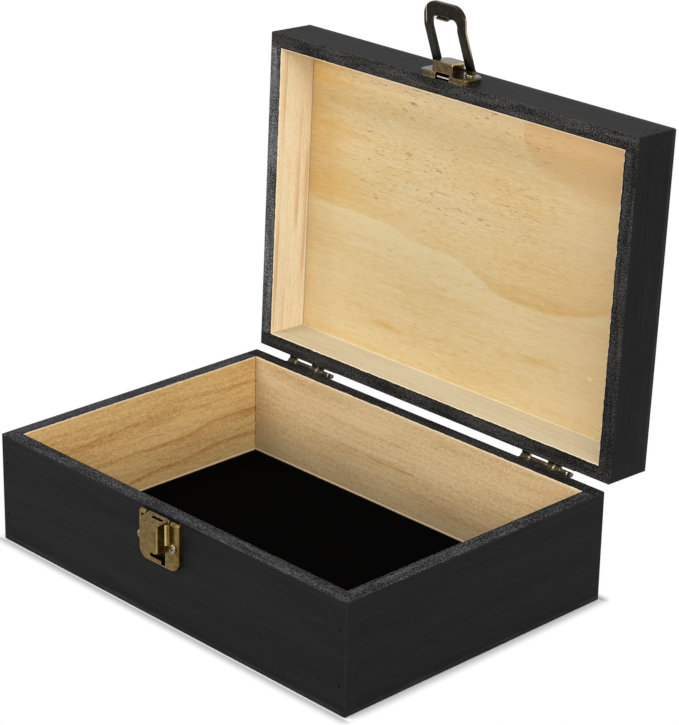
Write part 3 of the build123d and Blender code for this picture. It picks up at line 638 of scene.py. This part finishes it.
def bracket_marks(g, place):
    """Painted highlights along the bump's right front corner and the right wing's tip; painted shade on the
    bump's right side and the left wing.
    """
    x, y, z = place
    out = g.less(-HALF_DEPTH / MM, y)
    corner = g.times(g.near(x, 4.6, 0.25), g.smooth(out, 7.9, 8.4))
    side = g.times(g.smooth(x, 4.5, 4.64), g.smooth(out, 8.4, 8.0), g.smooth(out, 2.0, 2.6))
    wing = g.times(g.smooth(x, -9.4, -10.0), g.smooth(out, 3.4, 3.1))
    tip = g.times(g.smooth(x, 12.6, 13.4), g.smooth(z, LID_RIM / MM + 2.2, LID_RIM / MM + 1.4))
    bright = g.add(g.times(corner, 1.5), g.times(tip, 0.6))
    return g.less(bright, g.add(g.times(side, 0.4), g.times(wing, 0.4)))


def loop_marks(g, place):
    """Painted highlights down the loop's right side and along the left edge of its finger end."""
    x, y, z = place
    out = g.less(-HALF_DEPTH / MM - LOOP_PIVOT[0], y)
    up = g.less(z, LID_RIM / MM + LOOP_PIVOT[1])
    sine, cosine = math.sin(LOOP_LEAN), math.cos(LOOP_LEAN)
    length = g.less(g.times(out, cosine), g.times(up, sine))
    depth = g.less(g.times(up, -cosine), g.times(out, sine))
    depth = g.add(depth, g.times(g.larger(g.less(length, LOOP_BEND[0]), 0.0), LOOP_BEND[1]))
    right = g.times(g.smooth(x, 12.3, 12.8), g.near(depth, -0.35, 0.4), g.smooth(length, 6.0, 18.0))
    left = g.times(g.near(x, -12.9, 0.2), g.smooth(length, 23.0, 26.0), g.smooth(length, 34.5, 33.0))
    return g.add(g.times(right, 0.95), g.times(left, 0.9))


def cross_marks(g, place):
    """Painted shade in the cross recesses of the four latch screws."""
    x, _, z = place
    on_lid = g.smooth(z, 58.9, 59.2)
    beside = g.less(g.absolute(g.less(x, g.blend(on_lid, CATCH_X, BRACKET_X))), SCREW_SPREAD)
    above = g.less(z, g.blend(on_lid, CATCH_SCREW_Z, BRACKET_SCREW_Z))
    upright = g.times(g.near(beside, 0.0, 0.4), g.near(above, 0.0, 1.5))
    level = g.times(g.near(above, 0.0, 0.4), g.near(beside, 0.0, 1.5))
    return g.times(g.larger(upright, level), -1.0)


BRASS_LOOKS = {
    "catch": {
        "dark": (0.05, 0.029, 0.004, 1), "mid": (0.25, 0.158, 0.04, 1), "bright": (0.62, 0.45, 0.18, 1),
        "polish": 0.34, "marks": catch_marks, "lacquer": 0.12,
    },
    "bracket": {
        "dark": (0.028, 0.018, 0.005, 1), "mid": (0.16, 0.105, 0.034, 1), "bright": (0.62, 0.45, 0.18, 1),
        "polish": 0.34, "marks": bracket_marks, "lacquer": 0.3,
    },
    "hinge": {
        "dark": PATINA_AND_SHADE_BLACK, "mid": (0.07, 0.052, 0.028, 1), "bright": (0.5, 0.43, 0.28, 1),
        "polish": 0.34, "marks": hinge_marks, "lacquer": 0.12,
    },
    "loop": {
        "dark": (0.005, 0.0036, 0.0022, 1), "mid": (0.026, 0.021, 0.013, 1), "bright": (0.5, 0.42, 0.28, 1),
        "polish": 0.26, "marks": loop_marks, "lacquer": 0.12,
    },
    "screw": {
        "dark": (0.13, 0.095, 0.05, 1), "mid": (0.44, 0.35, 0.22, 1), "bright": (0.78, 0.69, 0.5, 1),
        "polish": 0.3, "marks": cross_marks, "lacquer": 0.05,
    },
    "spring": {
        "dark": (0.3, 0.27, 0.21, 1), "mid": (0.7, 0.66, 0.56, 1), "bright": (0.85, 0.8, 0.7, 1),
        "polish": 0.3, "marks": None, "lacquer": 0.12,
    },
}


def brass_material(kind, body):
    """Antique brass: a mottled dark patina, bright on its edges from wear and painted highlight, with painted
    highlights and shade from its marks, under a thin lacquer.
    """
    name = f"antique_brass_{kind}_{body}"
    if name in bpy.data.materials:
        return bpy.data.materials[name]
    made, g = new_material(name)
    look = BRASS_LOOKS[kind]
    bright = look["bright"]
    x, y, z = g.place(body)
    spot = g.vector(x, y, z)
    mottle = g.noise(spot, scale=0.3, detail=3.0, roughness=0.6)
    speck = g.noise(spot, scale=1.15, detail=3.0, roughness=0.7)
    tone = g.add(g.swing(mottle, 1.6), g.swing(speck, 1.6), 0.5)
    colour = g.mix(g.clamp(tone), look["dark"], look["mid"])
    if look["marks"]:
        mark = look["marks"](g, (x, y, z))
        # Marks above 0 are painted highlights; marks below 0 darken towards black, as painted shade and as
        # the dark cap of the hinges.
        colour = g.mix(g.clamp(mark), colour, bright)
        colour = g.mix(g.times(g.clamp(g.times(mark, -1.0)), 0.92), colour, PATINA_AND_SHADE_BLACK)
    # The edges are made bright: partly rubbed wear, partly a painted highlight along them.
    edge = g.node("ShaderNodeBevel", samples=6)
    edge.inputs["Radius"].default_value = 0.55 * MM
    facing = g.node("ShaderNodeVectorMath", operation="DOT_PRODUCT")
    g.put(facing.inputs[0], edge.outputs[0])
    g.put(facing.inputs[1], g.node("ShaderNodeNewGeometry").outputs["Normal"])
    worn_edge_and_highlight = g.times(g.smooth(facing.outputs["Value"], 0.998, 0.93), g.smooth(speck, 0.3, 0.6))
    colour = g.mix(g.times(worn_edge_and_highlight, 0.8), colour, bright)
    roughness = g.add(look["polish"], g.swing(speck, 0.25), g.swing(mottle, 0.2))
    normal = g.bump(g.add(g.times(speck, 0.6), g.times(mottle, 0.6)), 0.06 * MM, 0.5)
    lacquer = {"Coat_Weight": look["lacquer"], "Coat_Roughness": 0.2, "Coat_IOR": 1.5}
    g.surface(colour, roughness, normal, Metallic=1.0, **lacquer)
    return made


def steel_material(body):
    """The sunk brads: grey steel with stain over them."""
    made, g = new_material(f"steel_pins_{body}")
    x, y, z = g.place(body)
    speck = g.noise(g.vector(x, y, z), scale=2.0, detail=3.0)
    colour = g.mix(g.smooth(speck, 0.35, 0.65), (0.005, 0.005, 0.0055, 1), (0.009, 0.009, 0.0095, 1))
    g.surface(colour, g.add(0.5, g.times(speck, 0.2)), Metallic=0.1, Specular_IOR_Level=0.14)
    return made


# ---- velvet lining
def velvet_mesh():
    """A cut sheet whose pile rolls over at its edges and lies a little unevenly."""
    across, along = 118, 80
    half_x, half_y = VELVET_SIZE[0] / 2, VELVET_SIZE[1] / 2
    shape = bmesh.new()
    rows = []
    for j in range(along + 1):
        row = []
        for i in range(across + 1):
            x = -half_x + 2 * half_x * i / across
            y = -half_y + 2 * half_y * j / along
            inset = min(half_x - abs(x), half_y - abs(y))
            nap = noise.noise(Vector((x * 40, y * 40, 0.3))) * 0.03
            nap += noise.noise(Vector((x * 260, y * 260, 1.7))) * 0.02
            roll = 0.22 * max(0.0, 1 - inset / (2.0 * MM)) ** 2
            row.append(shape.verts.new((x, y, VELVET_TOP + (nap - 0.05 - roll) * MM)))
        rows.append(row)
    for j in range(along):
        for i in range(across):
            shape.faces.new((rows[j][i], rows[j][i + 1], rows[j + 1][i + 1], rows[j + 1][i]))
    left, right = [row[0] for row in rows], [row[-1] for row in rows]
    rim = rows[0][:-1] + right[:-1] + rows[-1][:0:-1] + left[:0:-1]
    foot = [shape.verts.new((top.co.x, top.co.y, VELVET_LOW + 0.02 * MM)) for top in rim]
    for k in range(len(rim)):
        shape.faces.new((rim[k - 1], foot[k - 1], foot[k], rim[k]))
    shape.faces.new(foot[::-1])
    mesh = bpy.data.meshes.new("velvet_lining_sheet")
    shape.to_mesh(mesh)
    shape.free()
    for face in mesh.polygons:
        face.use_smooth = abs(face.normal.z) > 0.5
    return mesh


def velvet_material():
    """Black velvet: nearly no light back, with faint brushed patches in the pile."""
    made, g = new_material("velvet")
    x, y, z = g.place("base")
    brushed = g.noise(g.layer(x, 0.02, y, 0.03, 1.0), detail=3.0, distortion=0.6)
    pile = g.noise(g.vector(x, y, z), scale=2.6, detail=3.0, roughness=0.75)
    tone = g.add(g.swing(brushed, 0.8), g.swing(pile, 1.2), 0.5)
    colour = g.mix(g.clamp(tone), VELVET_DARK, VELVET_LIGHT)
    normal = g.bump(pile, 0.25 * MM, 0.7)
    g.surface(colour, 0.95, normal, Specular_IOR_Level=0.01, Sheen_Weight=0.003, Sheen_Roughness=0.5)
    return made


def velvet_sheet():
    """The velvet on the bottom panel, in place of the plain lining."""
    piece = new_object("velvet_lining_sheet", velvet_mesh())
    piece.data.materials.append(velvet_material())
    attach(piece, "base")
    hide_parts("velvet_lining")


# ---- dressing the CAD nodes
def dress(node, material):
    """Gives a CAD node one material in place of its own."""
    NODES[node].data.materials.clear()
    NODES[node].data.materials.append(material)


def dress_nodes():
    """Every CAD node that stays in view gets its own finish."""
    for node in NODES:
        body = BODIES[node]
        if node in PINE_LOOKS:
            dress(node, board_material(node))
        elif node in ("base_bottom_panel", "lid_top_panel"):
            dress(node, panel_material(node))
        elif node.endswith("corner_pins"):
            dress(node, steel_material(body))
        elif node == "latch_loop":
            dress(node, brass_material("loop", body))
        elif node in ("catch_screws", "latch_screws"):
            dress(node, brass_material("screw", body))
        elif node == "latch_spring_plate":
            dress(node, brass_material("spring", body))
        elif "hinge" in node:
            dress(node, brass_material("hinge", body))
        elif node != "velvet_lining":
            dress(node, brass_material("catch" if body == "base" else "bracket", body))


# ---- stage, light and camera
def seen_directly(g):
    """1 for what the camera sees straight or mirrored in metal, 0 for the light that falls on the object."""
    path = g.node("ShaderNodeLightPath")
    seen = g.larger(path.outputs["Is Camera Ray"], path.outputs["Is Glossy Ray"])
    return g.larger(seen, path.outputs["Is Transmission Ray"])


def floor_material():
    """A matte floor close round the box, where it holds the shadow, with a painted shadow in front of and
    behind the box, and plain white beyond it.
    """
    made, g = new_material("pale_floor")
    x, y, _ = g.parts(g.node("ShaderNodeTexCoord").outputs["Object"])
    over_x = g.larger(g.less(g.absolute(x), HALF_WIDTH), 0.0)
    over_y = g.larger(g.less(g.absolute(y), HALF_DEPTH), 0.0)
    away = g.math("SQRT", g.add(g.times(over_x, over_x), g.times(over_y, over_y)))
    seen = seen_directly(g)
    white = g.times(g.smooth(away, 0.0, SHADOW_REACH), seen)
    # Painted shadow: the floor that the camera and reflections see in front of and behind the box is darker,
    # 0.49 in place of 0.85.
    shade = g.less(0.85, g.times(g.smooth(over_y, 0.0, 1.0 * MM), seen, 0.36))
    matte = g.node("ShaderNodeBsdfDiffuse")
    g.put(matte.inputs["Color"], g.vector(shade, shade, shade))
    glow = g.node("ShaderNodeEmission")
    glow.inputs["Color"].default_value = WHITE
    mixed = g.node("ShaderNodeMixShader")
    for socket, value in zip(mixed.inputs, (white, matte.outputs[0], glow.outputs[0])):
        g.put(socket, value)
    g.finish(mixed)
    return made


def floor():
    """The floor under the box. It stands a little below it, so that no faces share a plane."""
    mesh = bpy.data.meshes.new("floor")
    shape = bmesh.new()
    bmesh.ops.create_grid(shape, x_segments=8, y_segments=8, size=FLOOR_HALF)
    shape.to_mesh(mesh)
    shape.free()
    mesh.materials.append(floor_material())
    piece = new_object("floor", mesh)
    piece.location.z = -FLOOR_DROP


def white_world(strength):
    """A white studio that lights the object with the given strength and is plain white where it is seen."""
    world = bpy.data.worlds.new("studio")
    bpy.context.scene.world = world
    g = Graph(world)
    background = g.node("ShaderNodeBackground")
    background.inputs["Color"].default_value = WHITE
    g.put(background.inputs["Strength"], g.blend(seen_directly(g), strength, 1.0))
    g.finish(background, "ShaderNodeOutputWorld")


def softbox(name, place, size, watts):
    """A large area lamp that points at the box."""
    lamp = bpy.data.lights.new(name, "AREA")
    lamp.shape = "SQUARE"
    lamp.size = size
    lamp.energy = watts
    piece = new_object(name, lamp)
    piece.location = place
    aim = Vector((0, 0, 80 * MM)) - Vector(place)
    piece.rotation_mode = "QUATERNION"
    piece.rotation_quaternion = aim.to_track_quat("-Z", "Y")


def camera():
    """The camera, turned round the box and tilted, at a distance from a point in the base."""
    azimuth, elevation, roll = math.radians(45.592), math.radians(21.992), math.radians(1.066)
    to_right, to_top, distance = 21.259 * MM, 49.057 * MM, 1315.949 * MM
    flat = math.cos(elevation)
    back = Vector((math.sin(azimuth) * flat, -math.cos(azimuth) * flat, math.sin(elevation)))
    level = Vector((math.cos(azimuth), math.sin(azimuth), 0))
    upward = back.cross(level)
    right = level * math.cos(roll) + upward * math.sin(roll)
    up = upward * math.cos(roll) - level * math.sin(roll)
    spot = Vector((0, 0, 60 * MM)) + right * to_right + up * to_top + back * distance
    data = bpy.data.cameras.new("camera")
    data.sensor_width = 36.0
    data.lens = 130.289
    piece = new_object("camera", data)
    piece.matrix_world = Matrix.Translation(spot) @ Matrix((right, up, back)).transposed().to_4x4()
    bpy.context.scene.camera = piece


dress_nodes()
velvet_sheet()
floor()
white_world(0.62)
softbox("key_softbox", (-0.7, -1.2, 1.5), 1.2, 20.0)
softbox("right_softbox", (1.5, -0.8, 1.1), 1.2, 20.0)
camera()
bpy.context.scene.view_settings.view_transform = "Standard"
